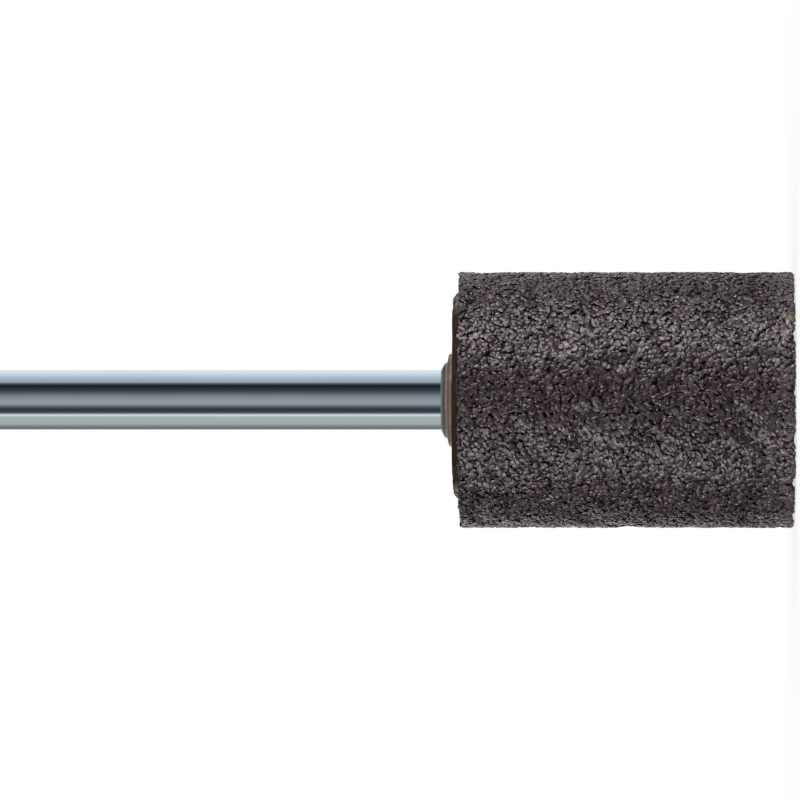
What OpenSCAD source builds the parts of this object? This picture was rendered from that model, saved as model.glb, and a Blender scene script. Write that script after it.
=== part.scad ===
// Cylindrical mounted point: a bonded abrasive head on a plain round steel shank.
// It stands on the head's flat working end, at z = 0, with the shank pointing up the Z axis.

/* [Abrasive head] */
// Diameter of the head
head_d = 26; // [20:0.5:40]
// Length of the head along its axis
head_len = 34; // [26:0.5:50]
// Rounding of the rim at the working end
nose_round = 0.5; // [0.2:0.1:2]
// Rounding of the rim at the shank end
back_round = 0.3; // [0.1:0.1:1]

/* [Backing disc] */
// Bare ring of the head's face left outside the disc
disc_margin = 2.6; // [1.2:0.1:4]
// Thickness of the disc
disc_t = 0.6; // [0.3:0.1:1.2]
// How far the disc's feathered rim sets back from its foot to its outer face
disc_feather = 0.5; // [0.1:0.1:1]

/* [Shank] */
// Diameter of the shank, which the collet of the tool grips
shank_d = 6; // [3:0.1:8]
// Length of the shank outside the head
shank_out = 50; // [30:1:80]
// Length of the shank anchored inside the head
shank_in = 22; // [16:0.5:24]
// Chamfer on the free end
tip_chamfer = 0.5; // [0.2:0.1:1]
// Chamfer on the anchored end
anchor_chamfer = 0.4; // [0.1:0.1:0.8]

/* [Anchor knurl] */
// How far the rolled crests stand out from the shank
knurl_raise = 0.2; // [0.1:0.05:0.3]
// Depth of the grooves below the crests
knurl_depth = 0.3; // [0.15:0.05:0.35]
// Spacing of the grooves round the shank
knurl_pitch = 0.8; // [0.7:0.1:2]

/* [Bond] */
// Gap between the knurl's crests and the bore, which the bond fills
bond_gap = 0.2; // [0.1:0.05:0.4]
// Thickness of the bond under the shank's anchored end
bond_floor = 0.5; // [0.2:0.1:1]
// Width of the collar's lower tier round the shank, at its foot
low_tier_w = 1.75; // [1.4:0.05:3]
// Height of the lower tier at its rim
low_tier_h = 0.45; // [0.2:0.05:1]
// Rise of the lower tier's top towards the upper tier
low_tier_rise = 0.14; // [0.02:0.02:0.4]
// Width of the collar's upper tier round the shank, at its foot
top_tier_w = 0.85; // [0.6:0.05:1.1]
// Height of the upper tier at its rim
top_tier_h = 0.32; // [0.1:0.02:1]
// Draft of both tiers' rims
tier_draft = 0.12; // [0.02:0.02:0.25]
// Height of the cone from the upper tier's rim to the shank
collar_cone_h = 0.3; // [0.1:0.05:1]

/* [Hidden] */
$fn = 96;

// Overshoot of every cutting shape past the face it opens
cut_over = 0.5;

head_r = head_d / 2;
shank_r = shank_d / 2;
knurl_r = shank_r + knurl_raise;

// Heights of the pieces' faces above the working end
disc_z = head_len + disc_t;
anchor_z = head_len - shank_in;
tip_z = head_len + shank_out;
bore_z = anchor_z - bond_floor;

// The bore takes the knurled anchor with its bond, and the disc's hole lines up with it
bore_r = knurl_r + bond_gap;
disc_r = head_r - disc_margin;

// Outline of the collar's two tiers
low_foot_r = shank_r + low_tier_w;
top_foot_r = shank_r + top_tier_w;
low_rim_z = disc_z + low_tier_h;
top_foot_z = low_rim_z + low_tier_rise;
top_rim_z = top_foot_z + top_tier_h;
cone_z = top_rim_z + collar_cone_h;

// The knurl runs out in a cone that ends at the collar's tip, where the plain shank starts.
// Each groove is a right-angled V that runs from that cone out through the anchored end.
knurl_z = cone_z;
knurl_count = floor(2 * PI * knurl_r / knurl_pitch);
groove_z = knurl_z - knurl_raise / 2;
groove_reach = knurl_depth + cut_over;

// What a rounding of the given radius takes off an outer corner that lies at the origin
module corner_waste(radius) {
    difference() {
        translate([-radius, -radius])
            square(radius + cut_over);
        translate([-radius, -radius])
            circle(radius);
    }
}

// Half section of the head: a rectangle with its two outer corners rounded
module head_section() {
    difference() {
        square([head_r, head_len]);
        translate([head_r, head_len])
            corner_waste(back_round);
        translate([head_r, 0])
            mirror([0, 1])
                corner_waste(nose_round);
    }
}

// The shank's hole through the disc and down into the head, with room for the bond
module bore(top_z) {
    translate([0, 0, bore_z])
        cylinder(r = bore_r, h = top_z - bore_z + cut_over);
}

module knurl_grooves() {
    for (i = [0 : knurl_count - 1])
        rotate([0, 0, i * 360 / knurl_count])
            translate([knurl_r - knurl_depth, 0, anchor_z - cut_over])
                linear_extrude(groove_z - anchor_z + cut_over)
                    polygon([
                        [0, 0],
                        [groove_reach, -groove_reach],
                        [groove_reach, groove_reach]
                    ]);
}

// A turned rod, chamfered at both ends and knurled where it is anchored
module shank_form() {
    difference() {
        rotate_extrude()
            polygon([
                [0, anchor_z],
                [knurl_r - anchor_chamfer, anchor_z],
                [knurl_r, anchor_z + anchor_chamfer],
                [knurl_r, knurl_z - knurl_raise],
                [shank_r, knurl_z],
                [shank_r, tip_z - tip_chamfer],
                [shank_r - tip_chamfer, tip_z],
                [0, tip_z]
            ]);
        knurl_grooves();
    }
}

module abrasive_head() {
    color([0.27, 0.24, 0.25])
        difference() {
            rotate_extrude()
                head_section();
            bore(head_len);
        }
}

module backing_disc() {
    color([0.26, 0.2, 0.16])
        difference() {
            translate([0, 0, head_len])
                cylinder(r1 = disc_r, r2 = disc_r - disc_feather, h = disc_t);
            bore(disc_z);
        }
}

// The bond fills the bore round the knurled anchor and ends outside in a two-tier collar
module bond_collar() {
    color([0.5, 0.46, 0.4])
        difference() {
            rotate_extrude()
                polygon([
                    [0, bore_z],
                    [bore_r, bore_z],
                    [bore_r, disc_z],
                    [low_foot_r, disc_z],
                    [low_foot_r - tier_draft, low_rim_z],
                    [top_foot_r, top_foot_z],
                    [top_foot_r - tier_draft, top_rim_z],
                    [shank_r, cone_z],
                    [0, cone_z]
                ]);
            shank_form();
        }
}

module shank() {
    color([0.76, 0.78, 0.8])
        shank_form();
}

abrasive_head();
backing_disc();
bond_collar();
shank();
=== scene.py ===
import math

import bpy
import numpy as np
from bpy.props import FloatProperty, FloatVectorProperty, IntProperty, PointerProperty
from mathutils import Matrix, Vector


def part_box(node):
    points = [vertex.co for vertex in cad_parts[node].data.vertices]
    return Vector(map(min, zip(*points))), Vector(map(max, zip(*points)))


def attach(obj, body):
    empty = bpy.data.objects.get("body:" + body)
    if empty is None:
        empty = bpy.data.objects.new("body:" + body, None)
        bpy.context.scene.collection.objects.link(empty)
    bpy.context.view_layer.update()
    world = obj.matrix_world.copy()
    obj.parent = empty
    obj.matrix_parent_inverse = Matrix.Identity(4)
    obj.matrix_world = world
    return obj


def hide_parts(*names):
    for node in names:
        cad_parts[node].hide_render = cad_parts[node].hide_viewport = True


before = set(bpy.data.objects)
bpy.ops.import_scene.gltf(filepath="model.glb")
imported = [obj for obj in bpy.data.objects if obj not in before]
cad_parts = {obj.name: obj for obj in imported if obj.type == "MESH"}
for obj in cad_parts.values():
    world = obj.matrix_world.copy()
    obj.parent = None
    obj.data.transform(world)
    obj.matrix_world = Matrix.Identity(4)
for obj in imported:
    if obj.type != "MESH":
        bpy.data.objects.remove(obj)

bl_info = {
    "name": "Mounted Point",
    "version": (1, 0, 0),
    "blender": (4, 5, 0),
    "location": "View3D > Sidebar > Mounted Point",
    "description": "Dresses a cylindrical mounted point: grains, bond, backing disc, collar and ground shank",
    "category": "Add Mesh",
}

MM = 0.001
TURN = 2 * math.pi
GOLDEN_TURN = TURN * (math.sqrt(5) - 1) / 2
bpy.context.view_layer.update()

# Least divisor of a length, for points on the axis
TINY = 1e-12

HEAD_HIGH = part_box("abrasive_head")[1]
DISC_LOW, DISC_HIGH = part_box("backing_disc")
COLLAR_LOW, COLLAR_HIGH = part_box("bond_collar")
SHANK_LOW, SHANK_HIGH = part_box("shank")

# Radius of the bore in the head and the disc, which the bond fills
BORE_RADIUS = 3.4 * MM


def length_setting(label, description, default):
    """A length that a user may change, in metres."""
    return FloatProperty(name=label, description=description, default=default, unit="LENGTH", precision=5)


def count_setting(label, description, default):
    """A whole number that a user may change."""
    return IntProperty(name=label, description=description, default=default)


def colour_setting(label, description, default):
    """A linear colour that a user may change."""
    return FloatVectorProperty(
        name=label, description=description, default=default, subtype="COLOR", min=0.0, max=1.0
    )


def point_setting(label, description, default):
    """A place in the shared frame that a user may change, in metres."""
    return FloatVectorProperty(
        name=label, description=description, default=default, subtype="XYZ", unit="LENGTH", precision=5
    )


class HeadSettings(bpy.types.PropertyGroup):
    """Sizes and colours of the bonded abrasive head"""

    radius: length_setting("Radius", "Radius of the head", min(HEAD_HIGH.x, HEAD_HIGH.y))
    length: length_setting("Length", "Length of the head along its axis", HEAD_HIGH.z)
    nose_round: length_setting("Nose Round", "Rounding of the rim at the working end", 0.5 * MM)
    back_round: length_setting("Back Round", "Rounding of the rim at the shank end", 0.3 * MM)
    bore_radius: length_setting("Bore Radius", "Radius of the blind bore for the shank", BORE_RADIUS)
    recess: length_setting("Recess", "How far the bond lies below the grain tips", 0.25 * MM)
    dish: length_setting("Dish", "How far the working end is hollow inside its rim", 0.30 * MM)
    back_waver: length_setting("Back Waver", "Unevenness of the bare ring round the backing disc", 0.13 * MM)
    back_wear: length_setting("Back Wear", "How far one side of the bare ring is worn down", 0.26 * MM)
    hollow: length_setting("Hollow", "Depth of the shallow hollows in the wall", 0.11 * MM)
    relief: length_setting("Relief", "Depth of the pits and swells in the bond", 0.07 * MM)
    bond_step: length_setting("Bond Step", "Spacing of the bond's mesh", 0.29 * MM)
    grain_count: count_setting("Grains", "Number of coarse and fine grains", 19000)
    coarse_size: length_setting("Coarse Size", "Mean radius of a coarse grain", 0.335 * MM)
    fine_size: length_setting("Fine Size", "Mean radius of a fine grain", 0.275 * MM)
    flatness: FloatProperty(
        name="Flatness", description="Height of a grain as a share of its free height",
        default=0.315, subtype="FACTOR",
    )
    seed: count_setting("Seed", "Seed of the grains' places and forms", 41)
    dark: colour_setting("Dark Grain", "Colour of the darkest grains", (0.0046, 0.0005, 0.0020))
    middle: colour_setting("Middle Grain", "Colour of most grains", (0.0102, 0.0017, 0.0049))
    light: colour_setting("Light Grain", "Colour of the lightest grains", (0.048, 0.032, 0.040))
    rust: colour_setting("Rust Grain", "Colour of the few reddish grains", (0.046, 0.012, 0.008))
    ochre: colour_setting("Ochre Grain", "Colour of the few ochre grains", (0.048, 0.031, 0.015))
    warm: colour_setting("Warm Cast", "What multiplies the colours in the warm patches", (1.0, 0.84, 0.74))
    cool: colour_setting("Cool Cast", "What multiplies the colours in the cool patches", (0.80, 0.92, 1.0))
    gloss: colour_setting("Gloss", "Tint of the shine on the grains and the bond", (1.0, 0.912, 0.963))
    bond: colour_setting("Bond", "Colour of the bond between the grains", (0.0088, 0.0011, 0.0037))


class DiscSettings(bpy.types.PropertyGroup):
    """Sizes and colours of the fibre backing disc"""

    foot_radius: length_setting("Foot Radius", "Mean radius at the disc's foot", DISC_HIGH.x)
    feather: length_setting("Feather", "Set-back of the rim from foot to face", 0.5 * MM)
    bore_radius: length_setting("Bore Radius", "Radius of the hole for the shank and its bond", BORE_RADIUS)
    offset: length_setting("Offset", "How far the cut rim lies off centre", 0.45 * MM)
    fray: length_setting("Fray", "Depth of the notches in the torn rim", 0.14 * MM)
    layering: length_setting("Layering", "Depth of the torn layers in the rim", 0.05 * MM)
    cockle: length_setting("Cockle", "Height of the waves in the disc's face", 0.035 * MM)
    fibre: colour_setting("Fibre", "Colour of the pressed fibre", (0.0518, 0.0231, 0.0104))
    fibre_dark: colour_setting("Dark Fibre", "Colour of the soaked fibre", (0.0148, 0.0061, 0.0030))
    fluff: colour_setting("Fluff", "Colour of the torn, pale rim", (0.240, 0.194, 0.148))


class CollarSettings(bpy.types.PropertyGroup):
    """Sizes and colours of the bond round the shank and its collar"""

    bore_radius: length_setting("Bore Radius", "Radius of the bore that the bond fills", BORE_RADIUS)
    low_radius: length_setting("Low Tier Radius", "Radius at the foot of the low tier", COLLAR_HIGH.x)
    low_rim: length_setting("Low Rim", "Height of the low tier's rim", 0.45 * MM)
    low_rise: length_setting("Low Rise", "Rise of the low tier's top to the top tier", 0.14 * MM)
    top_radius: length_setting("Top Tier Radius", "Radius at the foot of the top tier", 3.85 * MM)
    top_rim: length_setting("Top Rim", "Height of the top tier's rim", 0.32 * MM)
    draft: length_setting("Draft", "Set-back of both rims over their height", 0.12 * MM)
    soft: length_setting("Soft Edge", "Rounding of the tiers' edges", 0.08 * MM)
    unevenness: length_setting("Unevenness", "Waver of the hand-laid tiers", 0.035 * MM)
    tan: colour_setting("Tan", "Colour of the top tier", (0.192, 0.155, 0.126))
    brown: colour_setting("Brown", "Colour of the low tier", (0.178, 0.128, 0.104))
    # Painted shade: the dark stripe at the collar's foot and at the step between the tiers; the resin's dark
    # flecks share this colour
    line: colour_setting("Line", "Colour of the dark line between the tiers", (0.0555, 0.0296, 0.0222))
    shoulder: colour_setting("Shoulder", "Colour of the film next to the shank", (0.0536, 0.0536, 0.0444))
    # Painted highlight: a pale steel-grey band where the film meets the shank, standing in for the shank's
    # reflected light
    film_highlight: colour_setting("Film Edge", "Colour of the film's edge on the shank", (0.204, 0.218, 0.222))


class ShankSettings(bpy.types.PropertyGroup):
    """Sizes and colours of the ground steel shank"""

    radius: length_setting("Radius", "Radius of the plain shank", 3.0 * MM)
    knurl_radius: length_setting("Knurl Radius", "Radius over the knurl's crests", SHANK_HIGH.x)
    knurl_depth: length_setting("Knurl Depth", "Depth of the grooves below the crests", 0.3 * MM)
    grooves: count_setting("Grooves", "Number of grooves in the knurl", 25)
    tip_chamfer: length_setting("Tip Chamfer", "Chamfer on the free end", 0.5 * MM)
    anchor_chamfer: length_setting("Anchor Chamfer", "Chamfer on the anchored end", 0.4 * MM)
    steel: colour_setting("Steel", "Colour of the ground steel", (0.60, 0.69, 0.74))
    smear: colour_setting("Smear", "Colour of the steel under handling smears", (0.42, 0.46, 0.48))


class StageSettings(bpy.types.PropertyGroup):
    """Camera, floor and lights"""

    camera_place: point_setting("Camera Place", "Where the camera stands", (0.0, -0.877, 0.0170))
    camera_aim: point_setting("Camera Aim", "The point in the middle of the picture", (0.0, 0.0, 0.0400))
    lens: FloatProperty(
        name="Lens", description="Focal length on a 36 mm sensor", default=388.9, unit="CAMERA"
    )
    tent_radius: length_setting("Tent Radius", "Radius of the ring of light panels", 0.30)
    tent_low: length_setting("Tent Low", "Height of the dark card that closes the panel ring below", 0.001)
    tent_high: length_setting("Tent High", "Height of the light panels' upper edge", 0.6)
    strip_reach: length_setting("Strip Reach", "Distance of the strip boxes from the axis", 0.28)
    strip_height: length_setting("Strip Height", "Height of the strip boxes above the floor", 0.20)
    floor_radius: length_setting("Floor Radius", "Radius of the pale floor", 3.0)
    floor_colour: colour_setting("Floor", "Colour of the floor", (0.86, 0.86, 0.86))


# Light panels that the shank mirrors: angle from the camera's side towards +X in degrees, brightness
# and coolness
SHANK_PANELS = (
    (-180, 0.20, 0.05), (-138, 0.25, 0.03), (-124, 0.30, 0.01), (-108, 0.58, 0.0), (-93, 0.60, 0.0),
    (-72, 0.64, 0.0), (-66, 0.80, -0.02), (-62, 1.12, -0.03), (-58, 0.74, -0.02), (-52, 0.13, 0.05),
    (-40, 0.040, 0.16), (-30, 0.10, 0.12), (-22, 0.26, 0.04), (-14, 0.48, 0.02), (0, 0.445, 0.02),
    (16, 0.30, 0.04), (28, 0.135, 0.09), (41, 0.055, 0.18), (55, 0.022, 0.32), (62, 0.045, 0.28),
    (68, 0.20, 0.12), (76, 0.59, 0.08), (84, 0.60, 0.08), (100, 0.76, 0.08), (121, 0.97, 0.07),
    (150, 1.10, 0.04), (180, 0.24, 0.05),
)
PANEL_LIT = ("ground_shank",)

# Strip boxes parallel to the axis: name, angle as above, width in metres and power in watts
STRIP_BOXES = (
    ("upper_strip", 62.0, 0.06, 1.36), ("lower_strip", -51.0, 0.05, 1.10),
    ("upper_back_strip", 145.0, 0.30, 0.42), ("lower_back_strip", -152.0, 0.27, 0.57),
)

# What the strip boxes light: name, share of their power and pieces
STRIP_LIT = (
    ("head_lit", 1.0, ("head_bond", "coarse_grains", "fine_grains")),
    ("trim_lit", 0.45, ("fibre_disc", "resin_collar")),
)

# Bites out of the rims at the working end and at the shank end: angle round from +X in degrees, and the
# biting ball's radius and depth along the axis in mm
NOSE_BITES = (
    (-131.2, 0.9, 0.62), (-60.0, 1.0, 0.38), (12.0, 0.9, 0.45), (75.0, 0.8, 0.40), (140.0, 1.1, 0.50),
    (205.0, 0.7, 0.38), (-108.0, 1.3, 0.34), (-160.0, 2.0, 0.50), (-85.0, 0.9, 0.30), (-37.0, 1.2, 0.36),
)
BACK_BITES = (
    (-151.0, 0.8, 0.24), (-128.0, 0.9, 0.30), (-113.0, 0.6, 0.20), (-99.0, 0.8, 0.28), (-79.0, 0.6, 0.18),
    (-64.0, 0.9, 0.34), (-45.0, 0.7, 0.22), (-30.0, 1.0, 0.28), (60.0, 0.9, 0.28), (110.0, 0.7, 0.22),
    (170.0, 1.0, 0.30),
)

# Spots of the working end's rim that stand proud of the rest, in degrees round from +X, and how far
# from its middle a spot is level and how far it reaches
PROUD_SPOTS = (-122.2, -47.0, 25.0, 98.0, 163.0)
PROUD_LEVEL, PROUD_REACH = 1.5, 4.5

# Side on which the shank end's rim is worn down, and how far the wear reaches to both sides, in degrees
WORN_SIDE, WORN_REACH = 180.0, 42.0

# Stretches of the disc's rim that are torn pale: the middle and the half width in degrees round from +X
TORN_PATCHES = ((-14.0, 24.0), (-163.0, 20.0), (58.0, 16.0), (121.0, 22.0))

# Places where grains of another colour lie together: the middle and reach in mm, and their place on the
# ramp of stray colours
RUST, OCHRE = 0.5, 1.0
STRAY_MARKS = (
    ((7.34, -10.7, 33.9), 0.55, RUST), ((-0.75, -12.95, 33.8), 0.52, OCHRE), ((8.35, -9.9, 0.6), 0.75, OCHRE),
)

# Lowest and highest shares of a grain's size: its radius, its corners' distances and its three stretches
GRAIN_RADII = (0.75, 1.3)
GRAIN_CORNERS = (0.70, 1.25)
GRAIN_STRETCHES = ((1.0, 1.5), (0.8, 1.1), (0.65, 0.95))

# Shape of the beta distribution of the grains' tones, which leans to the dark side
GRAIN_TONES = (1.2, 1.7)

# How deep a grain's centre lies, as lowest and highest shares of its flattened radius
COARSE_DEPTHS = (0.7, 1.45)
FINE_DEPTHS = (0.8, 2.0)

# Mesh columns for each groove of the knurl, and spacing of mesh rows along plain walls
GROOVE_COLUMNS = 16
PLAIN_STEP = 1.5 * MM


def ripple(points, seed, waves, shortest, longest):
    """Random relief of unit variance at points.

    It is the sum of plane cosine waves of random direction and phase, with wavelengths spread evenly
    by ratio between the shortest and the longest, divided by the root of half their number.
    """
    random = np.random.default_rng(seed)
    ways = random.normal(size=(waves, 3))
    ways /= np.linalg.norm(ways, axis=1, keepdims=True)
    lengths = shortest * (longest / shortest) ** random.random(waves)
    phases = TURN * random.random(waves)
    angles = points @ (ways * (TURN / lengths)[:, None]).T + phases
    return np.cos(angles).sum(axis=-1) / math.sqrt(waves / 2)


def smooth_step(values, start, end):
    """0 before start, 1 after end, and a cubic ease between them."""
    share = np.clip((values - start) / (end - start), 0.0, 1.0)
    return share * share * (3 - 2 * share)


def near_angle(turn, middle, level, reach):
    """1 up to level degrees to either side of a middle angle, and an ease from there to 0 at reach."""
    aside = np.abs((np.degrees(turn) - middle + 180) % 360 - 180)
    return 1 - smooth_step(aside, level, reach)


def around(radius, turn, height):
    """Points at a distance from the Z axis, an angle round it from +X, and a height."""
    return np.stack(np.broadcast_arrays(radius * np.cos(turn), radius * np.sin(turn), height), axis=-1)


def round_axis(points):
    """The distance of points from the Z axis, and their angle round it from +X."""
    return np.hypot(points[..., 0], points[..., 1]), np.arctan2(points[..., 1], points[..., 0])


def moved_across(points, across):
    """Points moved straight in or out until they lie at the given distance from the Z axis."""
    reach = np.hypot(points[..., 0], points[..., 1])
    scale = np.where(reach > 0, across / np.maximum(reach, TINY), 1.0)
    moved = points.copy()
    moved[..., :2] *= scale[..., None]
    return moved


def arc(centre, radius, start, end, parts):
    """Points on a circular arc about centre, from the start angle to the end angle in degrees."""
    angles = np.radians(np.linspace(start, end, parts + 1))
    return np.stack([centre[0] + radius * np.cos(angles), centre[1] + radius * np.sin(angles)], axis=1)


def resampled(outline, step):
    """The corners of an open outline, with points between them, so that none lie further apart than step."""
    outline = np.asarray(outline, float)
    spans = np.linalg.norm(np.diff(outline, axis=0), axis=1)
    parts = np.maximum(np.ceil(spans / step).astype(int), 1)
    stretches = [
        outline[i] + (outline[i + 1] - outline[i]) * np.linspace(0, 1, parts[i], endpoint=False)[:, None]
        for i in range(len(parts))
    ]
    return np.concatenate(stretches + [outline[-1:]])


def turned(profile, columns):
    """Grid of points: each point (radius, height) of a half section carried once round the Z axis."""
    angles = np.arange(columns) * TURN / columns
    return around(profile[:, 0, None], angles, profile[:, 1, None])


def outward(profile):
    """Unit normals of a half section, to the right of its direction of travel."""
    along = np.gradient(profile, axis=0)
    normals = np.stack([along[:, 1], -along[:, 0]], axis=1)
    return normals / np.maximum(np.linalg.norm(normals, axis=1, keepdims=True), TINY)


def put_mesh(name, points, quads, triangles, smooth):
    """A mesh object at the origin, from arrays of points and of corner numbers."""
    corners = np.concatenate([quads.ravel(), triangles.ravel()]).astype(np.int32)
    sizes = np.concatenate([np.full(len(quads), 4), np.full(len(triangles), 3)])
    mesh = bpy.data.meshes.new(name)
    mesh.vertices.add(len(points))
    mesh.vertices.foreach_set("co", points.astype(np.float32).ravel())
    mesh.loops.add(len(corners))
    mesh.loops.foreach_set("vertex_index", corners)
    mesh.polygons.add(len(sizes))
    mesh.polygons.foreach_set("loop_start", (np.cumsum(sizes) - sizes).astype(np.int32))
    mesh.polygons.foreach_set("use_smooth", np.full(len(sizes), smooth))
    mesh.update(calc_edges=True)
    if mesh.validate(clean_customdata=False):
        raise RuntimeError(f"{name}: the mesh has faulty faces")
    piece = bpy.data.objects.new(name, mesh)
    bpy.context.scene.collection.objects.link(piece)
    return piece


def put_turned(name, grid, start_pole=True, end_pole=True, ring=False, smooth=True):
    """A mesh from a grid whose columns run round the Z axis, with neighbouring rows joined by quads.

    A start or end pole is a first or last row on the axis, which becomes one point with a fan of triangles.
    With ring, the last row joins the first.
    """
    columns = grid.shape[1]
    here = np.arange(columns)
    there = (here + 1) % columns
    rows = grid[int(start_pole):len(grid) - int(end_pole)]
    starts = np.arange(len(rows))[:, None] * columns
    low, high = (starts, np.roll(starts, -1, axis=0)) if ring else (starts[:-1], starts[1:])
    quads = np.stack([low + here, low + there, high + there, high + here], axis=-1).reshape(-1, 4)
    points = [rows.reshape(-1, 3)]
    fans = [np.zeros((0, 3), int)]
    pole = len(rows) * columns
    if start_pole:
        points.append(grid[:1, 0])
        fans.append(np.stack([np.full(columns, pole), there, here], axis=1))
        pole += 1
    if end_pole:
        points.append(grid[-1:, 0])
        fans.append(np.stack([starts[-1] + here, starts[-1] + there, np.full(columns, pole)], axis=1))
    return put_mesh(name, np.concatenate(points), quads, np.concatenate(fans), smooth)


def put_values(piece, label, values):
    """Keeps a value for each point of a piece in its mesh, for its material to read."""
    attribute = piece.data.attributes.new(label, "FLOAT", "POINT")
    attribute.data.foreach_set("value", values.astype(np.float32).ravel())


def feed(tree, node, inputs):
    """Links each input from a socket or sets it to a value, with colours made opaque."""
    for key, value in inputs.items():
        socket = node.inputs[key]
        if isinstance(value, bpy.types.NodeSocket):
            tree.links.new(value, socket)
        elif socket.type == "RGBA":
            socket.default_value = (*value, 1.0)
        else:
            socket.default_value = value


def add_node(tree, kind, inputs=None, **settings):
    """A new node with its settings made and its inputs fed."""
    node = tree.nodes.new(kind)
    for name, value in settings.items():
        setattr(node, name, value)
    feed(tree, node, inputs or {})
    return node


def math_node(tree, operation, first, second=0.0):
    """The output of a Math node."""
    return add_node(tree, "ShaderNodeMath", {0: first, 1: second}, operation=operation).outputs[0]


def times(tree, first, second):
    """The product of two values."""
    return math_node(tree, "MULTIPLY", first, second)


def map_range(tree, value, low, high, new_low=0.0, new_high=1.0):
    """A value brought from one range to another and held there."""
    spans = {"Value": value, "From Min": low, "From Max": high, "To Min": new_low, "To Max": new_high}
    return add_node(tree, "ShaderNodeMapRange", spans).outputs["Result"]


def between(tree, mask, low, high):
    """A mask from 0 to 1 brought to the range from low to high."""
    return map_range(tree, mask, 0.0, 1.0, low, high)


def mix_colour(tree, share, first, second, blend="MIX"):
    """Two colours mixed by a share."""
    inputs = {0: share, 6: first, 7: second}
    return add_node(tree, "ShaderNodeMix", inputs, data_type="RGBA", blend_type=blend).outputs[2]


def colour_ramp(tree, value, stops):
    """The colour along a ramp of (place, colour) stops."""
    node = add_node(tree, "ShaderNodeValToRGB", {"Fac": value})
    while len(node.color_ramp.elements) < len(stops):
        node.color_ramp.elements.new(1.0)
    for element, (place, colour) in zip(node.color_ramp.elements, stops):
        element.position = place
        element.color = (*colour, 1.0)
    return node.outputs["Color"]


def object_place(tree):
    """The place in the shared frame, in metres."""
    return add_node(tree, "ShaderNodeTexCoord").outputs["Object"]


def kept_value(tree, label):
    """A value that the piece's mesh keeps for each point."""
    return add_node(tree, "ShaderNodeAttribute", attribute_name=label).outputs["Fac"]


def empty_material(name):
    """A material whose node tree is empty, and the tree."""
    material = bpy.data.materials.new(name)
    material.use_nodes = True
    material.node_tree.nodes.clear()
    return material, material.node_tree


def show(tree, shader):
    """Makes a shader the material's surface."""
    add_node(tree, "ShaderNodeOutputMaterial", {"Surface": shader.outputs[0]})


def principled_material(name):
    """A material with a Principled BSDF, and its tree and shader."""
    material, tree = empty_material(name)
    shader = tree.nodes.new("ShaderNodeBsdfPrincipled")
    show(tree, shader)
    return material, tree, shader


def add_bump(tree, shader, height, distance, strength=1.0):
    """Lets a height relief turn the shader's normal."""
    bump = add_node(tree, "ShaderNodeBump", {"Height": height, "Distance": distance, "Strength": strength})
    tree.links.new(bump.outputs["Normal"], shader.inputs["Normal"])


def mottle_group():
    """Node group: a cloudy mask from stretched noise on Object coordinates, spread from Low to High."""
    name = "Mottle"
    if name in bpy.data.node_groups:
        return bpy.data.node_groups[name]
    tree = bpy.data.node_groups.new(name, "ShaderNodeTree")
    for label, kind, default in (
        ("Scale", "NodeSocketFloat", 1000.0),
        ("Stretch", "NodeSocketVector", (1.0, 1.0, 1.0)),
        ("Detail", "NodeSocketFloat", 3.0),
        ("Low", "NodeSocketFloat", 0.35),
        ("High", "NodeSocketFloat", 0.65),
    ):
        socket = tree.interface.new_socket(label, in_out="INPUT", socket_type=kind)
        socket.default_value = default
    tree.interface.new_socket("Mask", in_out="OUTPUT", socket_type="NodeSocketFloat")
    entry = tree.nodes.new("NodeGroupInput").outputs
    factors = {0: object_place(tree), 1: entry["Stretch"]}
    stretched = add_node(tree, "ShaderNodeVectorMath", factors, operation="MULTIPLY").outputs[0]
    values = {"Vector": stretched, "Scale": entry["Scale"], "Detail": entry["Detail"]}
    noise = add_node(tree, "ShaderNodeTexNoise", values).outputs["Fac"]
    mask = map_range(tree, noise, entry["Low"], entry["High"])
    add_node(tree, "NodeGroupOutput", {"Mask": mask})
    return tree


def mottle(tree, scale=1.0, detail=3.0, low=0.35, high=0.65, stretch=(1.0, 1.0, 1.0)):
    """The mask of a Mottle group placed in a material."""
    values = {"Scale": scale, "Detail": detail, "Low": low, "High": high, "Stretch": stretch}
    return add_node(tree, "ShaderNodeGroup", values, node_tree=mottle_group()).outputs["Mask"]


def grain_material(settings):
    """Broken grain: each has its own tone and stray tint, with cloudy faces and a fine chipped bump."""
    material, tree, shader = principled_material("abrasive_grain")
    stray = kept_value(tree, "stray")
    tones = ((0.0, settings.dark), (0.55, settings.middle), (1.0, settings.light))
    colour = colour_ramp(tree, kept_value(tree, "tone"), tones)
    patches = mottle(tree, scale=330, detail=2.0, low=0.38, high=0.62)
    cast = mix_colour(tree, patches, settings.warm, settings.cool)
    colour = mix_colour(tree, 1.0, colour, cast, "MULTIPLY")
    tints = ((0.0, settings.rust), (0.6, settings.rust), (0.8, settings.ochre))
    colour = mix_colour(tree, map_range(tree, stray, 0.3, 0.4), colour, colour_ramp(tree, stray, tints))
    cloud = mottle(tree, scale=2600, detail=2.0, low=0.3, high=0.7)
    feed(tree, shader, {
        "Base Color": mix_colour(tree, between(tree, cloud, 0.0, 0.55), colour, settings.dark),
        "Roughness": between(tree, cloud, 0.41, 0.56),
        "IOR": 1.60,
        "Specular Tint": settings.gloss,
    })
    chips = mottle(tree, scale=6000, detail=2.0, low=0.2, high=0.8)
    add_bump(tree, shader, chips, 0.03 * MM, strength=0.4)
    return material


def bond_material(settings):
    """Burnt bond between the grains: near-black purple brown, dull, with lighter dust in places."""
    material, tree, shader = principled_material("abrasive_bond")
    dust = mottle(tree, scale=3600, detail=4.0, low=0.45, high=0.75)
    feed(tree, shader, {
        "Base Color": mix_colour(tree, times(tree, dust, 0.4), settings.bond, settings.middle),
        "Roughness": between(tree, dust, 0.42, 0.62),
        "Specular IOR Level": 0.25,
        "Specular Tint": settings.gloss,
    })
    add_bump(tree, shader, mottle(tree, scale=4200, low=0.2, high=0.8), 0.08 * MM)
    return material


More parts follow.
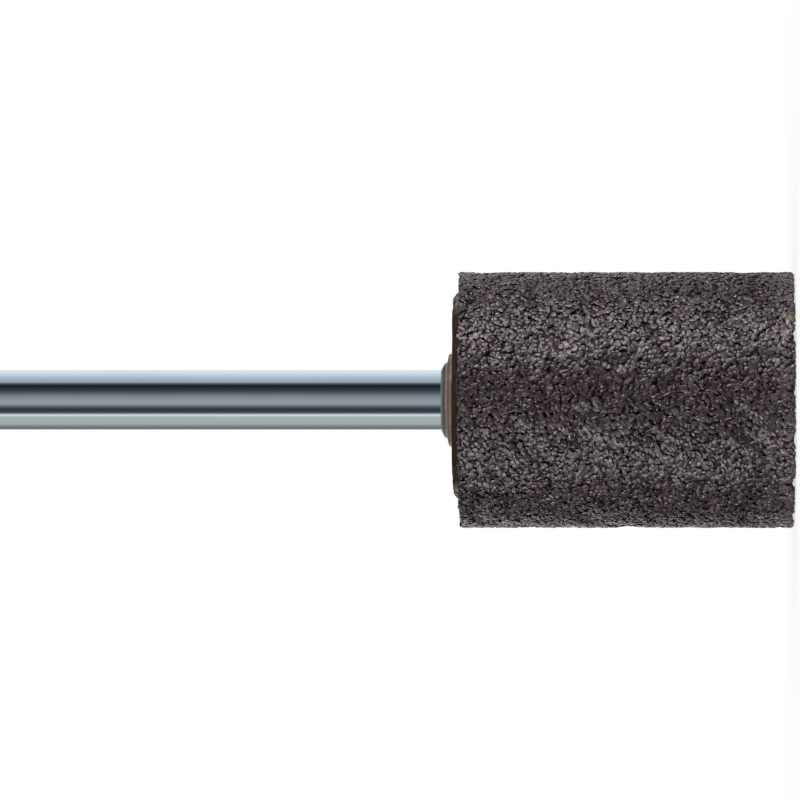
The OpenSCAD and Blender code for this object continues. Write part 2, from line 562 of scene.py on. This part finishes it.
def fibre_material(settings):
    """Pressed brown fibre: crossed fibres, soaked dark patches, and a pale torn rim."""
    material, tree, shader = principled_material("disc_fibre")
    across = mottle(tree, stretch=(900, 5200, 3000))
    along = mottle(tree, stretch=(5200, 900, 3000))
    fibres = times(tree, math_node(tree, "ADD", across, along), 0.5)
    darkened = mottle(tree, scale=420, detail=5.0, low=0.40, high=0.62)
    colour = mix_colour(tree, fibres, settings.fibre_dark, settings.fibre)
    colour = mix_colour(tree, times(tree, darkened, 0.6), colour, settings.fibre_dark)
    patchy = mottle(tree, scale=900, detail=4.0, low=0.40, high=0.62)
    torn = times(tree, kept_value(tree, "torn"), patchy)
    feed(tree, shader, {
        "Base Color": mix_colour(tree, torn, colour, settings.fluff),
        "Roughness": between(tree, darkened, 0.85, 0.55),
        "Specular IOR Level": 0.15,
    })
    add_bump(tree, shader, fibres, 0.03 * MM)
    return material


def collar_material(settings):
    """Set resin in two pours: brown low tier, tan top tier and grey film, with flecks. A dark stripe of
    painted shade runs at the collar's foot on the disc and at the low tier's rim, and a pale band of painted
    highlight lies where the film meets the shank.
    """
    material, tree, shader = principled_material("collar_resin")
    height = add_node(tree, "ShaderNodeSeparateXYZ", {0: object_place(tree)}).outputs["Z"]
    waver = times(tree, mottle(tree, scale=900), 0.05 * MM)
    level = map_range(tree, math_node(tree, "ADD", height, waver), DISC_HIGH.z, COLLAR_HIGH.z)
    span = COLLAR_HIGH.z - DISC_HIGH.z
    low = settings.low_rim / span
    top = low + (settings.low_rise + settings.top_rim) / span
    # The ramp paints shade at level 0 and at the low tier's rim, and a highlight in its last stop at the
    # shank
    colour = colour_ramp(tree, level, (
        (0.0, settings.line), (0.10, settings.brown), (low - 0.07, settings.brown), (low, settings.line),
        (low + 0.07, settings.tan), (top - 0.17, settings.tan), (top - 0.05, settings.shoulder),
        (top + 0.06, settings.shoulder), (0.97, settings.film_highlight),
    ))
    fleck = mottle(tree, scale=4200, detail=4.0, low=0.5, high=0.8)
    feed(tree, shader, {
        "Base Color": mix_colour(tree, times(tree, fleck, 0.5), colour, settings.line),
        "Roughness": between(tree, fleck, 0.52, 0.70),
    })
    add_bump(tree, shader, mottle(tree, scale=2600, detail=4.0, low=0.2, high=0.8), 0.03 * MM)
    return material


def steel_material(settings):
    """Ground steel: fine lines round the shank in the roughness and bump, with faint handling smears."""
    material, tree, shader = principled_material("ground_steel")
    lines = mottle(tree, detail=4.0, low=0.25, high=0.75, stretch=(260, 260, 9000))
    smear = mottle(tree, scale=130, detail=4.0, low=0.4, high=0.7)
    feed(tree, shader, {
        "Base Color": mix_colour(tree, times(tree, smear, 0.10), settings.steel, settings.smear),
        "Roughness": math_node(tree, "ADD", between(tree, lines, 0.045, 0.085), times(tree, smear, 0.03)),
        "Metallic": 1.0,
    })
    add_bump(tree, shader, lines, 0.0012 * MM)
    return material


def bite_balls(settings):
    """Centres and radii of the balls that bite into the rims.

    Each centre lies over the rim's circle and past its end, by the ball's radius less the bite's depth.
    """
    angles, radii, depths = np.array(NOSE_BITES + BACK_BITES).T
    past = MM * (radii - depths)
    at_nose = np.arange(len(past)) < len(NOSE_BITES)
    height = np.where(at_nose, -past, settings.length + past)
    return around(settings.radius, np.radians(angles), height), MM * radii


def held_off_bites(points, settings):
    """Points inside a bite's ball moved straight out from its centre onto its surface."""
    for centre, radius in zip(*bite_balls(settings)):
        away = points - centre
        reach = np.linalg.norm(away, axis=-1, keepdims=True)
        points = np.where(reach < radius, centre + away * (radius / np.maximum(reach, TINY)), points)
    return points


def nose_level(across, turn, settings):
    """Height of the working end's skin: hollow inside, a fifth as deep along the rim, zero on proud spots."""
    proud = np.max([near_angle(turn, spot, PROUD_LEVEL, PROUD_REACH) for spot in PROUD_SPOTS], axis=0)
    rim = smooth_step(across, settings.radius - 1.2 * MM, settings.radius - 0.4 * MM)
    return settings.dish * (1 - rim * (4 + proud) / 5)


def back_level(across, turn, settings):
    """Height of the shank end's skin: flat under the disc, and uneven by random waves on the bare ring.

    Towards the worn side the bare ring falls off as well, by a cubic ease of the angle to that side.
    """
    rim = around(settings.radius, turn, 0.0)
    waves = ripple(rim, seed=settings.seed + 3, waves=24, shortest=0.9 * MM, longest=5.0 * MM)
    bare = smooth_step(across, DISC_HIGH.x + 0.5 * MM, DISC_HIGH.x + 1.4 * MM)
    worn = settings.back_wear * near_angle(turn, WORN_SIDE, 0.0, WORN_REACH)
    return settings.length + bare * (settings.back_waver * np.clip(waves, -2.0, 1.6) - worn)


def held_in_head(points, settings):
    """Points moved onto the head's envelope where they lie outside it.

    The envelope is a cylinder with rounded rims, a worn working end and an uneven back. A point is held
    between the ends and within the radius. Past a rim's centre circle it is drawn towards that circle,
    onto its arc.
    """
    reach, turn = round_axis(points)
    across = np.minimum(reach, settings.radius)
    back = back_level(across, turn, settings)
    height = np.clip(points[..., 2], nose_level(across, turn, settings), back)
    for foot, way, bend in ((0.0, 1.0, settings.nose_round), (back, -1.0, settings.back_round)):
        out = across - (settings.radius - bend)
        past = bend - way * (height - foot)
        slant = np.hypot(out, past)
        outside = (out > 0) & (past > 0) & (slant > bend)
        pull = bend / np.maximum(slant, TINY)
        across = np.where(outside, settings.radius - bend + out * pull, across)
        height = np.where(outside, foot + way * (bend - past * pull), height)
    held = moved_across(points, across)
    held[..., 2] = height
    return held


def hollowed(points, settings):
    """Points of the head's wall drawn inwards by shallow random hollows, which fade out towards both rims."""
    reach = round_axis(points)[0]
    from_end = np.minimum(points[..., 2], settings.length - points[..., 2])
    on_wall = smooth_step(reach, settings.radius - 2.0 * MM, settings.radius - 1.0 * MM)
    on_wall = on_wall * smooth_step(from_end, 0.6 * MM, 2.2 * MM)
    waves = ripple(points, seed=settings.seed + 4, waves=60, shortest=2.2 * MM, longest=8.0 * MM)
    depth = settings.hollow * np.clip(waves, 0.0, 2.4)
    return moved_across(points, reach - on_wall * depth)


def head_profile(settings):
    """Half section of the head: out along the working end, up the wall, in along the back, down the bore."""
    radius, length = settings.radius, settings.length
    nose, back = settings.nose_round, settings.back_round
    bore_floor = COLLAR_LOW.z
    outline = np.concatenate([
        [(0.0, 0.0)],
        arc((radius - nose, nose), nose, -90, 0, 4),
        arc((radius - back, length - back), back, 0, 90, 3),
        [(settings.bore_radius, length), (settings.bore_radius, bore_floor), (0.0, bore_floor)],
    ])
    return resampled(outline, settings.bond_step)


def put_head_bond(settings):
    """The head's body: its half section turned about Z, sunk below the grain tips and pitted at random.

    The sink fades out under the backing disc and in the bore, so the faces there keep their true place.
    """
    profile = head_profile(settings)
    columns = int(TURN * settings.radius / settings.bond_step)
    grid = turned(profile, columns)
    facing = turned(outward(profile), columns)
    across = round_axis(grid)[0]
    clear_of_disc = smooth_step(across, DISC_HIGH.x - 0.9 * MM, DISC_HIGH.x - 0.3 * MM)
    on_nose = grid[..., 2] < settings.length / 4
    in_bore = (across < settings.bore_radius + settings.bond_step) & (grid[..., 2] >= settings.nose_round)
    shown = np.where(on_nose, 1.0, clear_of_disc) * ~in_bore
    pits = ripple(grid, seed=settings.seed, waves=60, shortest=0.7 * MM, longest=2.6 * MM)
    sink = settings.recess - settings.relief * np.clip(pits, -2.0, 2.0)
    grid = held_in_head(grid, settings) - facing * (sink * shown)[..., None]
    return put_turned("head_bond", held_off_bites(hollowed(grid, settings), settings))


def grain_lattice(settings, random):
    """Places of all grains on the head's outside, with their outward normals.

    The wall, the working end and the bare ring of the back each take a share of the count by area. Steps
    of the golden turn spread the places evenly, and a random shift of about half their spacing breaks
    the rows.
    """
    radius, length, count = settings.radius, settings.length, settings.grain_count
    ring = DISC_HIGH.x - 0.4 * MM
    areas = np.array([TURN * radius * length, math.pi * radius**2, math.pi * (radius**2 - ring**2)])
    wall, nose, back = (int(round(count * area / areas.sum())) for area in areas)
    spacing = math.sqrt(areas.sum() / count)

    turn = np.arange(wall) * GOLDEN_TURN + random.uniform(-0.5, 0.5, wall) * spacing / radius
    height = (np.arange(wall) + 0.5) / wall * length + random.uniform(-0.5, 0.5, wall) * spacing
    height = np.clip(height, 0.1 * MM, length + settings.back_waver)
    places, normals = [around(radius, turn, height)], [around(1.0, turn, 0.0)]
    for number, inner, level, way in ((nose, 0.0, 0.0, -1.0), (back, ring, length, 1.0)):
        share = (np.arange(number) + 0.5) / number
        across = np.sqrt(inner**2 + (radius**2 - inner**2) * share)
        across = np.clip(across + random.uniform(-0.5, 0.5, number) * spacing, 0.0, radius - 0.05 * MM)
        turn = np.arange(number) * GOLDEN_TURN + random.uniform(-0.3, 0.3, number)
        places.append(around(across, turn, level))
        normals.append(np.tile((0.0, 0.0, way), (number, 1)))
    return np.concatenate(places), np.concatenate(normals)


def random_turns(count, random):
    """Rotation matrices spread evenly over all directions, from random unit quaternions."""
    w, x, y, z = random.normal(size=(count, 4)).T
    size = np.sqrt(w * w + x * x + y * y + z * z)
    w, x, y, z = w / size, x / size, y / size, z / size
    return np.stack([
        1 - 2 * (y * y + z * z), 2 * (x * y - z * w), 2 * (x * z + y * w),
        2 * (x * y + z * w), 1 - 2 * (x * x + z * z), 2 * (y * z - x * w),
        2 * (x * z - y * w), 2 * (y * z + x * w), 1 - 2 * (x * x + y * y),
    ], axis=1).reshape(-1, 3, 3)


def grain_ball():
    """Corners and faces of an unbroken grain: two poles and two rings of five, half a step apart."""
    steps = np.arange(5)
    following = (steps + 1) % 5
    angles = TURN * steps / 5
    ring_height, ring_radius = 1 / math.sqrt(5), 2 / math.sqrt(5)
    corners = np.concatenate([
        [(0.0, 0.0, 1.0)],
        around(ring_radius, angles, ring_height),
        around(ring_radius, angles + TURN / 10, -ring_height),
        [(0.0, 0.0, -1.0)],
    ])
    upper, lower, last = 1, 6, 11
    faces = np.concatenate([
        np.stack([np.zeros(5, int), upper + steps, upper + following], axis=1),
        np.stack([upper + steps, lower + steps, upper + following], axis=1),
        np.stack([lower + steps, lower + following, upper + following], axis=1),
        np.stack([np.full(5, last), lower + following, lower + steps], axis=1),
    ])
    return corners, faces


def put_grains(name, places, normals, size, depths, settings, seed):
    """Broken grains set in the head's skin, as one mesh of closed twenty-faced forms.

    Each grain is a ball of twelve corners at random distances from its centre, stretched on three axes,
    turned at random and flattened along the skin's normal. A corner above the skin is drawn towards its
    grain's centre until it lies on the skin, as on a head that was trued, and the rims' rounding and bites
    hold all corners in.
    """
    random = np.random.default_rng(seed)
    count = len(places)
    radii = size * random.uniform(*GRAIN_RADII, count)
    deep = radii * settings.flatness * random.uniform(*depths, count)
    centres = held_in_head(places, settings) - normals * deep[:, None]

    corners, faces = grain_ball()
    spread = random.uniform(*GRAIN_CORNERS, (count, len(corners), 1))
    stretch = np.stack([random.uniform(*span, count) for span in GRAIN_STRETCHES], axis=1)
    forms = corners * spread * stretch[:, None, :] * radii[:, None, None]
    forms = np.einsum("nij,nkj->nki", random_turns(count, random), forms)
    rise = np.einsum("nki,ni->nk", forms, normals)
    forms -= (1 - settings.flatness) * rise[..., None] * normals[:, None, :]
    rise *= settings.flatness
    forms *= np.minimum(1.0, deep[:, None] / np.maximum(rise, TINY))[..., None]

    # Painted shade: grains within about 0.7 mm of the back end, where the backing disc meets the head, get a
    # darker tone
    waver = ripple(centres, seed=settings.seed + 6, waves=30, shortest=1.0 * MM, longest=4.0 * MM)
    level = centres[:, 2] + 0.2 * MM * waver
    darkened = smooth_step(level, settings.length - 0.7 * MM, settings.length - 0.1 * MM)
    tone = random.beta(*GRAIN_TONES, count) * (1 - 0.85 * darkened)
    stray = np.zeros(count)
    for mark, reach, kind in STRAY_MARKS:
        near = np.linalg.norm(centres - MM * np.array(mark), axis=1) < reach * MM
        stray = np.where(near, kind, stray)

    balls, reaches = bite_balls(settings)
    gaps = np.linalg.norm(centres[:, None, :] - balls, axis=-1) - reaches
    kept = gaps.min(axis=1) > 0
    points = held_in_head((centres[:, None, :] + forms)[kept], settings)
    points = held_off_bites(hollowed(points, settings), settings)
    number = len(points)
    triangles = (faces + len(corners) * np.arange(number)[:, None, None]).reshape(-1, 3)
    piece = put_mesh(name, points.reshape(-1, 3), np.zeros((0, 4), int), triangles, smooth=False)
    put_values(piece, "tone", np.repeat(tone[kept], len(corners)))
    put_values(piece, "stray", np.repeat(stray[kept], len(corners)))
    put_bake_map(piece, number, len(faces))
    return piece


def put_bake_map(piece, grains, faces):
    """A UV map that gives each grain a square cell, cut into small fields with one face in each."""
    side = math.ceil(math.sqrt(grains))
    fields_across, fields_up = 5, 4
    grain, face = np.divmod(np.arange(grains * faces), faces)
    corner = np.array([(0.08, 0.08), (0.92, 0.08), (0.5, 0.92)])
    field = np.stack([face % fields_across, face // fields_across], axis=1)
    cell = np.stack([grain % side, grain // side], axis=1)
    within = (field[:, None, :] + corner) / (fields_across, fields_up)
    places = (cell[:, None, :] + within) / side
    layer = piece.data.uv_layers.new(name="OFBake")
    layer.uv.foreach_set("vector", places.astype(np.float32).ravel())


def put_disc(settings):
    """The fibre disc: a flat ring with a feathered rim, turned about Z as a closed half section.

    The rim's radius follows a circle set off centre, less random notches, and the face carries low waves.
    """
    columns = 720
    step = 0.22 * MM
    lip = 0.08 * MM
    inner, edge = settings.bore_radius, settings.foot_radius
    foot, face = DISC_LOW.z, DISC_HIGH.z
    outline = [
        (inner, foot), (edge - 0.8 * MM, foot), (edge, foot), (edge, foot + lip),
        (edge - settings.feather, face), (inner + 0.2 * MM, face), (inner, face), (inner, foot),
    ]
    grid = turned(resampled(outline, step)[:-1], columns)
    across, turn = round_axis(grid)
    rim = around(edge, turn, 0.0)
    notches = ripple(rim, seed=7, waves=40, shortest=0.5 * MM, longest=5.0 * MM)
    layers = ripple(grid, seed=8, waves=40, shortest=0.35 * MM, longest=1.5 * MM)
    shift = settings.offset * np.cos(turn) - settings.fray * np.clip(notches, -0.4, 2.5)
    outer = smooth_step(across, edge - 2.2 * MM, edge - settings.feather)
    at_rim = smooth_step(across, edge - settings.feather - 0.1 * MM, edge)
    grid = moved_across(grid, across + outer * shift + at_rim * settings.layering * layers)
    waves = ripple(grid, seed=9, waves=30, shortest=1.5 * MM, longest=8.0 * MM)
    on_face = smooth_step(grid[..., 2], foot + 0.3 * MM, face)
    grid[..., 2] += on_face * settings.cockle * np.clip(waves - 1, -3.0, 0.0)
    piece = put_turned("fibre_disc", grid, start_pole=False, end_pole=False, ring=True)
    piece.data.set_sharp_from_angle(angle=math.radians(50))
    torn = np.max([near_angle(turn, middle, 0.4 * half, half) for middle, half in TORN_PATCHES], axis=0)
    put_values(piece, "torn", at_rim * torn)
    return piece


def shank_radius(turn, height, settings):
    """Radius of the shank's surface: plain above the knurl, and below it crests with right-angled V grooves.

    In the knurl the radius is the groove's bottom plus the distance round to the nearest groove's middle,
    and no more than the crest, which falls to the plain shank in a cone at the knurl's end.
    """
    crest = settings.knurl_radius
    raised = crest - settings.radius
    cone = settings.radius + np.clip(COLLAR_HIGH.z - height, 0.0, raised)
    pitch = TURN / settings.grooves
    aside = np.abs((turn + pitch / 2) % pitch - pitch / 2) * crest
    groove = crest - settings.knurl_depth + aside
    return np.where(height < COLLAR_HIGH.z - raised / 2, np.minimum(cone, groove), cone)


def anchor_outline(settings):
    """Half section of the shank's anchored end: from the axis to the crests and up to the grooves' end."""
    crest, chamfer, end = settings.knurl_radius, settings.anchor_chamfer, SHANK_LOW.z
    raised = crest - settings.radius
    groove_end = COLLAR_HIGH.z - raised / 2
    edge = 0.02 * MM
    return [
        (0.0, end), (crest - chamfer, end), (crest, end + chamfer), (crest, COLLAR_HIGH.z - raised),
        (crest, groove_end - edge), (crest, groove_end),
    ]


def put_shank(settings):
    """The shank: a half section with chamfered ends turned about Z, with grooves in its anchored end."""
    radius, chamfer, tip = settings.radius, settings.tip_chamfer, SHANK_HIGH.z
    outline = anchor_outline(settings) + [
        (radius, COLLAR_HIGH.z), (radius, tip - chamfer), (radius - chamfer, tip), (0.0, tip),
    ]
    grid = turned(resampled(outline, PLAIN_STEP), GROOVE_COLUMNS * settings.grooves)
    across, turn = round_axis(grid)
    limit = shank_radius(turn, grid[..., 2], settings)
    piece = put_turned("ground_shank", moved_across(grid, np.minimum(across, limit)))
    piece.data.set_sharp_from_angle(angle=math.radians(25))
    return piece


def tier_rim(radius, rim, settings):
    """Half section of a tier's rim: drafted from its foot radius, with a soft edge at the rim's height."""
    return [
        (radius - settings.draft * 0.7, rim - settings.soft),
        (radius - settings.draft - settings.soft, rim),
    ]


def put_collar(settings, shank):
    """The bond: a half section turned about Z, which fills the bore round the shank and ends in two tiers.

    Its inside follows the shank's surface, grooves included, and its tiers waver a little.
    """
    columns = GROOVE_COLUMNS * shank.grooves
    tier_step = 0.10 * MM
    bottom, disc, tip = COLLAR_LOW.z, DISC_HIGH.z, COLLAR_HIGH.z
    low_rim = disc + settings.low_rim
    top_foot = low_rim + settings.low_rise
    top_rim = top_foot + settings.top_rim
    outside = [
        (0.0, bottom), (settings.bore_radius, bottom), (settings.bore_radius, disc),
        (settings.low_radius, disc),
        *tier_rim(settings.low_radius, low_rim, settings),
        (settings.top_radius + settings.soft, top_foot - 0.3 * settings.soft),
        (settings.top_radius, top_foot + settings.soft),
        *tier_rim(settings.top_radius, top_rim, settings),
        (shank.radius, tip),
    ]
    # Below the tiers, where nothing is seen, only one row in twelve is kept
    outer = resampled(outside, tier_step)
    on_tiers = outer[:, 1] > disc - 2 * tier_step
    outer = outer[on_tiers | (np.arange(len(outer)) % 12 == 0)]
    inner = resampled(anchor_outline(shank)[::-1], PLAIN_STEP)
    grid = turned(np.concatenate([outer, inner]), columns)
    across, turn = round_axis(grid)
    height = grid[..., 2]
    is_inner = np.arange(len(grid))[:, None] >= len(outer)
    waves = ripple(grid, seed=17, waves=30, shortest=1.0 * MM, longest=6.0 * MM)
    waver = settings.unevenness * np.minimum(waves, 1.0)
    free = smooth_step(height, disc - 0.02 * MM, disc + 0.1 * MM) * (1 - smooth_step(height, top_rim, tip))
    fitted = np.minimum(across, shank_radius(turn, height, shank))
    grid = moved_across(grid, np.where(is_inner, fitted, across + free * waver))
    piece = put_turned("resin_collar", grid)
    piece.data.set_sharp_from_angle(angle=math.radians(40))
    return piece


def dress(piece, material, slot, *nodes):
    """Gives a piece its material and body, and lets it stand for the nodes that it replaces. The slot is not
    used.
    """
    piece.data.materials.append(material)
    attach(piece, "root")
    if nodes:
        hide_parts(*nodes)


class MOUNTEDPOINT_OT_head_bond(bpy.types.Operator):
    """Build the head's body of bond, with its bore"""

    bl_idname = "mounted_point.head_bond"
    bl_label = "Head Bond"

    def execute(self, context):
        settings = context.scene.mounted_head
        dress(put_head_bond(settings), bond_material(settings), "abrasive", "abrasive_head")
        return {"FINISHED"}


class MOUNTEDPOINT_OT_head_grains(bpy.types.Operator):
    """Set the coarse and the fine grains in the head's skin"""

    bl_idname = "mounted_point.head_grains"
    bl_label = "Head Grains"

    def execute(self, context):
        settings = context.scene.mounted_head
        material = grain_material(settings)
        places, normals = grain_lattice(settings, np.random.default_rng(settings.seed))
        coarse = put_grains(
            "coarse_grains", places[::2], normals[::2], settings.coarse_size, COARSE_DEPTHS,
            settings, settings.seed + 1,
        )
        fine = put_grains(
            "fine_grains", places[1::2], normals[1::2], settings.fine_size, FINE_DEPTHS,
            settings, settings.seed + 2,
        )
        dress(coarse, material, "abrasive")
        dress(fine, material, "abrasive")
        return {"FINISHED"}


class MOUNTEDPOINT_OT_disc(bpy.types.Operator):
    """Build the fibre disc on the back of the head"""

    bl_idname = "mounted_point.disc"
    bl_label = "Backing Disc"

    def execute(self, context):
        settings = context.scene.mounted_disc
        dress(put_disc(settings), fibre_material(settings), "disc", "backing_disc")
        return {"FINISHED"}


class MOUNTEDPOINT_OT_collar(bpy.types.Operator):
    """Build the resin round the shank, with its two-tier collar"""

    bl_idname = "mounted_point.collar"
    bl_label = "Resin Collar"

    def execute(self, context):
        settings = context.scene.mounted_collar
        piece = put_collar(settings, context.scene.mounted_shank)
        dress(piece, collar_material(settings), "bond", "bond_collar")
        return {"FINISHED"}


class MOUNTEDPOINT_OT_shank(bpy.types.Operator):
    """Build the ground steel shank with its knurled anchor"""

    bl_idname = "mounted_point.shank"
    bl_label = "Ground Shank"

    def execute(self, context):
        settings = context.scene.mounted_shank
        dress(put_shank(settings), steel_material(settings), "steel", "shank")
        return {"FINISHED"}


def ray_share(tree):
    """1 for rays that show the background: camera, glossy and transmission rays; 0 for the rest."""
    path = add_node(tree, "ShaderNodeLightPath").outputs
    seen = math_node(tree, "MAXIMUM", path["Is Camera Ray"], path["Is Glossy Ray"])
    return math_node(tree, "MAXIMUM", seen, path["Is Transmission Ray"])


def put_world():
    """White where the background is seen, and an even soft light for the rest."""
    world = bpy.data.worlds.new("studio")
    world.use_nodes = True
    tree = world.node_tree
    tree.nodes.clear()
    strength = between(tree, ray_share(tree), 0.40, 1.0)
    background = add_node(tree, "ShaderNodeBackground", {"Color": (1.0, 1.0, 1.0), "Strength": strength})
    add_node(tree, "ShaderNodeOutputWorld", {"Surface": background.outputs[0]})
    bpy.context.scene.world = world


def put_floor(settings):
    """A pale round floor, which takes the part's shadow and further out goes over into the background.

    A glow on the rays that show the floor tops its matte surface up to white.
    """
    columns = 96
    radii = np.array([settings.floor_radius, 1.6, 0.8, 0.4, 0.2, 0.1, 0.05, 0.02, 0.0])
    profile = np.stack([radii, np.zeros(len(radii))], axis=1)
    floor = put_turned("floor", turned(profile, columns), start_pole=False, smooth=False)
    material, tree = empty_material("floor")
    matte = add_node(tree, "ShaderNodeBsdfDiffuse", {"Color": settings.floor_colour})
    top_up = add_node(tree, "ShaderNodeEmission", {"Strength": times(tree, ray_share(tree), 0.66)})
    near = add_node(tree, "ShaderNodeAddShader", {0: matte.outputs[0], 1: top_up.outputs[0]})
    white = add_node(tree, "ShaderNodeEmission", {"Strength": ray_share(tree)})
    away = add_node(tree, "ShaderNodeVectorMath", {0: object_place(tree)}, operation="LENGTH")
    far = map_range(tree, away.outputs["Value"], 0.10, 0.26)
    show(tree, add_node(tree, "ShaderNodeMixShader", {0: far, 1: near.outputs[0], 2: white.outputs[0]}))
    floor.data.materials.append(material)


def lit_group(name, pieces):
    """A collection of the pieces that a light shines on."""
    group = bpy.data.collections.new(name)
    for piece in pieces:
        group.objects.link(bpy.data.objects[piece])
    return group


def put_tent(settings):
    """A ring of light panels round the part, closed by a card below, which the camera doesn't see."""
    columns = 128
    foot = 1.2 * HEAD_HIGH.x
    profile = np.array([
        (settings.tent_radius, settings.tent_high), (settings.tent_radius, settings.tent_low),
        (foot, settings.tent_low),
    ])
    tent = put_turned("light_tent", turned(profile, columns), start_pole=False, end_pole=False)
    material, tree = empty_material("light_tent")
    axes = add_node(tree, "ShaderNodeSeparateXYZ", {0: object_place(tree)}).outputs
    angle = math_node(tree, "ARCTAN2", axes["X"], times(tree, axes["Y"], -1.0))
    stops = [
        ((degrees + 180) / 360, (level * (1 - cool), level, level * (1 + cool)))
        for degrees, level, cool in SHANK_PANELS
    ]
    colour = colour_ramp(tree, map_range(tree, angle, -math.pi, math.pi), stops)
    show(tree, add_node(tree, "ShaderNodeEmission", {"Color": colour, "Strength": 1.0}))
    tent.data.materials.append(material)
    tent.visible_camera = False
    tent.visible_diffuse = False
    tent.visible_shadow = False
    tent.light_linking.receiver_collection = lit_group("panel_lit", PANEL_LIT)


def put_strip(name, angle, width, power, settings, receivers):
    """A tall strip box beside the part, which lights only the receivers and isn't seen in the picture."""
    lamp = bpy.data.lights.new(name, "AREA")
    lamp.shape = "RECTANGLE"
    lamp.size, lamp.size_y = width, settings.strip_height
    lamp.energy = power
    way = Vector((math.sin(math.radians(angle)), -math.cos(math.radians(angle)), 0.0))
    holder = bpy.data.objects.new(name, lamp)
    holder.matrix_world = (
        Matrix.Translation(way * settings.strip_reach + Vector((0.0, 0.0, settings.strip_height / 2)))
        @ (-way).to_track_quat("-Z", "Y").to_matrix().to_4x4()
    )
    holder.visible_camera = False
    holder.light_linking.receiver_collection = receivers
    bpy.context.scene.collection.objects.link(holder)


def put_camera(settings):
    """The camera at the photograph's angle, rolled so that the shank points to the picture's left."""
    camera = bpy.data.cameras.new("camera")
    camera.lens = settings.lens
    camera.sensor_width = 36.0
    holder = bpy.data.objects.new("camera", camera)
    bpy.context.scene.collection.objects.link(holder)
    place, aim = Vector(settings.camera_place), Vector(settings.camera_aim)
    back = (place - aim).normalized()
    up = Vector((1.0, 0.0, 0.0))
    right = up.cross(back).normalized()
    holder.matrix_world = Matrix.Translation(place) @ Matrix((right, up, back)).transposed().to_4x4()
    bpy.context.scene.camera = holder


class MOUNTEDPOINT_OT_stage(bpy.types.Operator):
    """Set up the camera, the floor and the studio light round the finished pieces"""

    bl_idname = "mounted_point.stage"
    bl_label = "Stage"

    def execute(self, context):
        settings = context.scene.mounted_stage
        context.scene.view_settings.view_transform = "Standard"
        put_camera(settings)
        put_world()
        put_floor(settings)
        put_tent(settings)
        for label, share, pieces in STRIP_LIT:
            receivers = lit_group(label, pieces)
            for name, angle, width, power in STRIP_BOXES:
                put_strip(f"{name}_{label}", angle, width, share * power, settings, receivers)
        return {"FINISHED"}


class MOUNTEDPOINT_PT_panel(bpy.types.Panel):
    """Lists the steps that dress the part"""

    bl_idname = "MOUNTEDPOINT_PT_panel"
    bl_label = "Mounted Point"
    bl_space_type = "VIEW_3D"
    bl_region_type = "UI"
    bl_category = "Mounted Point"

    def draw(self, context):
        for operator in OPERATORS:
            self.layout.operator(operator.bl_idname)


SETTINGS = {
    "mounted_head": HeadSettings,
    "mounted_disc": DiscSettings,
    "mounted_collar": CollarSettings,
    "mounted_shank": ShankSettings,
    "mounted_stage": StageSettings,
}
OPERATORS = (
    MOUNTEDPOINT_OT_head_bond,
    MOUNTEDPOINT_OT_head_grains,
    MOUNTEDPOINT_OT_disc,
    MOUNTEDPOINT_OT_collar,
    MOUNTEDPOINT_OT_shank,
    MOUNTEDPOINT_OT_stage,
)
CLASSES = (*SETTINGS.values(), *OPERATORS, MOUNTEDPOINT_PT_panel)


def register():
    """Registers the classes and hangs the settings on the scene."""
    for item in CLASSES:
        bpy.utils.register_class(item)
    for name, group in SETTINGS.items():
        setattr(bpy.types.Scene, name, PointerProperty(type=group))


def unregister():
    """Takes the settings off the scene and unregisters the classes."""
    for name in SETTINGS:
        delattr(bpy.types.Scene, name)
    for item in reversed(CLASSES):
        bpy.utils.unregister_class(item)


def main():
    """Builds every piece in order, then the stage round them."""
    register()
    bpy.ops.mounted_point.head_bond()
    bpy.ops.mounted_point.head_grains()
    bpy.ops.mounted_point.disc()
    bpy.ops.mounted_point.collar()
    bpy.ops.mounted_point.shank()
    bpy.ops.mounted_point.stage()


if __name__ == "__main__":
    main()
